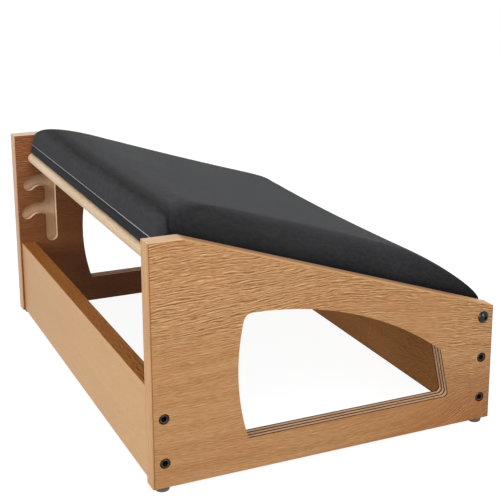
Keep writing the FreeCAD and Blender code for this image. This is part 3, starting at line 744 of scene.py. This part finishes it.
def level_ring(height, front, side, rear, draw):
    """A level outline of the pad, inset by front, side and rear at the middle of each side.

    The sides are drawn in between rounded corners, which keep out of a share of each inset.
    """
    corner_share = 1 - SIDE_BOW
    half = PAD_HALF_WIDTH - corner_share * side
    y_front = PAD_FRONT + corner_share * front
    y_rear = PAD_REAR - corner_share * rear
    middle = (y_front + y_rear) / 2
    reach = (y_rear - y_front) / 2
    radius = PAD_CORNER_RADIUS + CORNER_GROWTH * max(side, 0.0)
    points = []
    for across, along in rim_walk():
        u = 2 * across - 1
        v = 2 * along - 1
        x = u * half
        y = v * reach
        past = Vector((abs(x) - (half - radius), abs(y) - (reach - radius)))
        if past.x > 0 and past.y > 0:
            past = past.normalized() * radius
            x = math.copysign(half - radius + past.x, x)
            y = math.copysign(reach - radius + past.y, y)
        if abs(u) == 1:
            x -= math.copysign((draw + SIDE_BOW * side) * (1 - v * v), u)
        if abs(v) == 1:
            inset = rear if v > 0 else front
            y -= math.copysign((draw + SIDE_BOW * inset) * (1 - u * u), v)
        points.append(Vector((x, y + middle, height)))
    return points


def drawn_in(level, shoulder, start):
    """Inset of the crown at a level from 0 to 1: a rounded shoulder of a given reach and power."""
    reach, power = shoulder
    return start + (1 - (1 - level ** power) ** (1 / power)) * (reach - start)


def cushion_rings():
    """Rings from the middle of the underside, round the board's edge and the seam, up to the crown."""
    recess = LINER_INSET + LINER_RECESS
    rings = [
        level_ring(PAD_UNDERSIDE + LINER_RECESS, recess, recess, recess, 0.0),
        level_ring(PAD_UNDERSIDE, LINER_INSET, LINER_INSET, LINER_INSET, 0.0),
        level_ring(PAD_UNDERSIDE, UNDERSIDE_INSET, UNDERSIDE_INSET, UNDERSIDE_INSET, 0.0),
    ]
    for step in range(4):
        turn = math.radians(30 * step)
        inset = WALL_SLANT + BOARD_EDGE_RADIUS * (1 - math.sin(turn))
        height = PAD_UNDERSIDE + BOARD_EDGE_RADIUS * (1 - math.cos(turn))
        rings.append(level_ring(height, inset, inset, inset, 0.0))
    base = PAD_UNDERSIDE + BOARD_EDGE_RADIUS
    low = SEAM_HEIGHT - SEAM_LIP
    for share in (0.35, 0.7, 1.0):
        inset = WALL_SLANT * (1 - share)
        rings.append(level_ring(base + share * (low - base), inset, inset, inset, 0.0))
    for offset, share in ((-0.5, 0.7), (0.0, 1.0), (0.5, 0.7), (1.0, 0.0)):
        groove = SEAM_DEPTH * share
        rings.append(level_ring(SEAM_HEIGHT + SEAM_LIP * offset, groove, groove, groove, 0.0))
    middle = (SEAM_HEIGHT + SEAM_LIP + CROWN_START) / 2
    rings.append(level_ring(middle, -FRONT_BULGE / 2, 0.0, REAR_LEAN / 2, SIDE_DRAW / 2))
    for step in range(CROWN_RINGS + 1):
        level = math.sin(math.pi / 2 * step / CROWN_RINGS)
        height = CROWN_START + level * (CROWN_TOP - CROWN_START)
        front = drawn_in(level, CROWN_FRONT, -FRONT_BULGE)
        side = drawn_in(max(level - SIDE_WALL, 0.0) / (1 - SIDE_WALL), CROWN_SIDE, 0.0)
        rear = drawn_in(level, CROWN_REAR, REAR_LEAN)
        rings.append(level_ring(height, front, side, rear, SIDE_DRAW))
    return rings


def fill_ring(ring):
    """The points inside a ring, on a grid that runs evenly between its four sides."""
    n, m = GRID_ACROSS, GRID_ALONG
    front = [ring[i] for i in range(n + 1)]
    right = [ring[n + j] for j in range(m + 1)]
    rear = [ring[(2 * n + m - i) % len(ring)] for i in range(n + 1)]
    left = [ring[(2 * n + 2 * m - j) % len(ring)] for j in range(m + 1)]
    inner = {}
    for i in range(1, n):
        for j in range(1, m):
            s, t = i / n, j / m
            point = front[i] * (1 - t) + rear[i] * t + left[j] * (1 - s) + right[j] * s
            point -= (front[0] * (1 - s) + front[n] * s) * (1 - t)
            point -= (rear[0] * (1 - s) + rear[n] * s) * t
            inner[i, j] = point
    return inner


def cushion_mesh():
    """Closed mesh of the cover: rings joined by quads and closed by a grid above and below."""
    rings = cushion_rings()
    count = len(rings[0])
    points = [point for ring in rings for point in ring]
    quads = []
    for level in range(len(rings) - 1):
        for k in range(count):
            a = level * count + k
            b = level * count + (k + 1) % count
            quads.append((a, b, b + count, a + count))
    add_cap(points, quads, 0, rings[0], upward=False)
    add_cap(points, quads, (len(rings) - 1) * count, rings[-1], upward=True)
    data = bpy.data.meshes.new("cushion_cover")
    data.from_pydata(points, [], quads)
    data.validate()
    return data


def add_cap(points, quads, start, ring, upward):
    """Close a ring with a grid of quads."""
    n, m = GRID_ACROSS, GRID_ALONG
    number = {}
    for i in range(n + 1):
        number[i, 0] = start + i
        number[i, m] = start + (2 * n + m - i) % len(ring)
    for j in range(m + 1):
        number[n, j] = start + n + j
        number[0, j] = start + (2 * n + 2 * m - j) % len(ring)
    for place, point in fill_ring(ring).items():
        number[place] = len(points)
        points.append(point)
    for i in range(n):
        for j in range(m):
            quad = (number[i, j], number[i + 1, j], number[i + 1, j + 1], number[i, j + 1])
            quads.append(quad if upward else quad[::-1])


def evaluated_mesh(piece):
    """The piece's mesh with its modifiers applied."""
    graph = bpy.context.evaluated_depsgraph_get()
    return bpy.data.meshes.new_from_object(piece.evaluated_get(graph))


def puff(piece):
    """Blow the cover up over its filling by cloth simulation, held at and below the seam.

    The cover is kept from sinking in, and the swelling and sliding level off at their limits.
    """
    held = piece.vertex_groups.new(name="held")
    pinned = [v.index for v in piece.data.vertices if v.co.z < SEAM_HEIGHT + SEAM_LIP + PIN_MARGIN]
    held.add(pinned, 1.0, "REPLACE")
    rest = [(v.co.copy(), v.normal.copy()) for v in piece.data.vertices]
    cloth = piece.modifiers.new("cloth", "CLOTH")
    cloth.settings.vertex_group_mass = "held"
    cloth.settings.use_pressure = True
    cloth.settings.uniform_pressure_force = PRESSURE
    cloth.settings.effector_weights.gravity = 0.0
    cloth.point_cache.frame_end = SIMULATED_FRAMES
    scene = bpy.context.scene
    for step in range(1, SIMULATED_FRAMES + 1):
        scene.frame_set(step)
    blown = evaluated_mesh(piece)
    piece.modifiers.remove(cloth)
    for vertex, (start, normal) in zip(blown.vertices, rest):
        move = vertex.co - start
        outward = max(move.dot(normal), 0.0)
        slide = move - normal * move.dot(normal)
        swell = SWELL_LIMIT * math.tanh(outward / SWELL_EASE)
        drift = SLIDE_LIMIT * math.tanh(slide.length / SWELL_EASE)
        vertex.co = start + normal * swell + slide.normalized() * drift
    scene.frame_set(1)
    piece.data = blown
    piece.vertex_groups.clear()


def make_cushion(material):
    """The upholstered cover over its foam and board, as one closed puffed form."""
    piece = bpy.data.objects.new("cushion_cover", cushion_mesh())
    bpy.context.scene.collection.objects.link(piece)
    puff(piece)
    smooth = piece.modifiers.new("smooth", "SUBSURF")
    smooth.levels = 1
    smooth.render_levels = 1
    piece.data = evaluated_mesh(piece)
    piece.modifiers.clear()
    piece.data.transform(Matrix.Translation(PIVOT) @ Matrix.Rotation(-PAD_SLOPE, 4, "X"))
    piece.data.materials.clear()
    piece.data.materials.append(material)
    piece.data.shade_smooth()
    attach(piece, "pad")
    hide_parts("pad_cover", "pad_foam")


# Studio
def seen_directly(tree):
    """1 for camera, glossy and transmission rays, which see the white surroundings."""
    path = tree.nodes.new("ShaderNodeLightPath")
    seen = path.outputs["Is Camera Ray"]
    for name in ("Is Glossy Ray", "Is Transmission Ray"):
        both = tree.nodes.new("ShaderNodeMath")
        both.operation = "MAXIMUM"
        tree.links.new(seen, both.inputs[0])
        tree.links.new(path.outputs[name], both.inputs[1])
        seen = both.outputs[0]
    return seen


def make_world():
    """White surroundings that light the object with SKY_LIGHT."""
    world = bpy.data.worlds.new("studio")
    bpy.context.scene.world = world
    world.use_nodes = True
    tree = world.node_tree
    background = tree.nodes["Background"]
    background.inputs["Color"].default_value = (1.0, 1.0, 1.0, 1.0)
    strength = tree.nodes.new("ShaderNodeMapRange")
    strength.inputs["To Min"].default_value = SKY_LIGHT
    strength.inputs["To Max"].default_value = 1.0
    tree.links.new(seen_directly(tree), strength.inputs["Value"])
    tree.links.new(strength.outputs[0], background.inputs["Strength"])


def make_floor():
    """Pale floor that looks white from the camera and keeps a faint shadow."""
    half = FLOOR_SIZE / 2
    data = bpy.data.meshes.new("floor")
    corners = [(-half, -half, 0.0), (half, -half, 0.0), (half, half, 0.0), (-half, half, 0.0)]
    data.from_pydata(corners, [], [(0, 1, 2, 3)])
    floor = bpy.data.objects.new("floor", data)
    bpy.context.scene.collection.objects.link(floor)
    material = bpy.data.materials.new("floor")
    material.use_nodes = True
    tree = material.node_tree
    tree.nodes.remove(tree.nodes["Principled BSDF"])
    matte = tree.nodes.new("ShaderNodeBsdfDiffuse")
    matte.inputs["Color"].default_value = (FLOOR_GREY, FLOOR_GREY, FLOOR_GREY, 1.0)
    glow = tree.nodes.new("ShaderNodeEmission")
    level = tree.nodes.new("ShaderNodeMath")
    level.operation = "MULTIPLY"
    level.inputs[1].default_value = FLOOR_GLOW
    tree.links.new(seen_directly(tree), level.inputs[0])
    tree.links.new(level.outputs[0], glow.inputs["Strength"])
    both = tree.nodes.new("ShaderNodeAddShader")
    tree.links.new(matte.outputs[0], both.inputs[0])
    tree.links.new(glow.outputs[0], both.inputs[1])
    tree.links.new(both.outputs[0], tree.nodes["Material Output"].inputs["Surface"])
    data.materials.append(material)


def direction(azimuth, elevation):
    """From the object towards a viewer or lamp: azimuth 0 is on the -Y side, 90 on the +X side."""
    turn = math.radians(azimuth)
    lift = math.radians(elevation)
    level = math.cos(lift)
    return Vector((math.sin(turn) * level, -math.cos(turn) * level, math.sin(lift)))


def make_lamps():
    """Square lamps, each lighting a white surface that faces it to its share of plain white."""
    target = (CAD_BOX[0] + CAD_BOX[1]) / 2
    for name, lamp in LAMPS.items():
        data = bpy.data.lights.new(name, "AREA")
        data.shape = "SQUARE"
        data.size = lamp["size"]
        data.energy = lamp["share"] * math.pi ** 2 * lamp["distance"] ** 2
        away = direction(lamp["azimuth"], lamp["elevation"])
        piece = bpy.data.objects.new(name, data)
        piece.location = target + away * lamp["distance"]
        piece.rotation_euler = away.to_track_quat("Z", "Y").to_euler()
        bpy.context.scene.collection.objects.link(piece)


def make_camera():
    """The photograph's viewpoint."""
    data = bpy.data.cameras.new("camera")
    data.sensor_width = SENSOR_WIDTH
    data.lens = CAMERA_LENS
    data.shift_x, data.shift_y = CAMERA_SHIFT
    camera = bpy.data.objects.new("camera", data)
    camera.location = CAMERA_PLACE
    camera.rotation_euler = (math.radians(90 - CAMERA_ELEVATION), 0.0, math.radians(CAMERA_AZIMUTH))
    bpy.context.scene.collection.objects.link(camera)
    bpy.context.scene.camera = camera


materials = make_materials()
dress_cad_nodes(materials)
make_cushion(materials["cover_fabric"])
make_world()
make_floor()
make_lamps()
make_camera()
bpy.context.scene.view_settings.view_transform = "Standard"
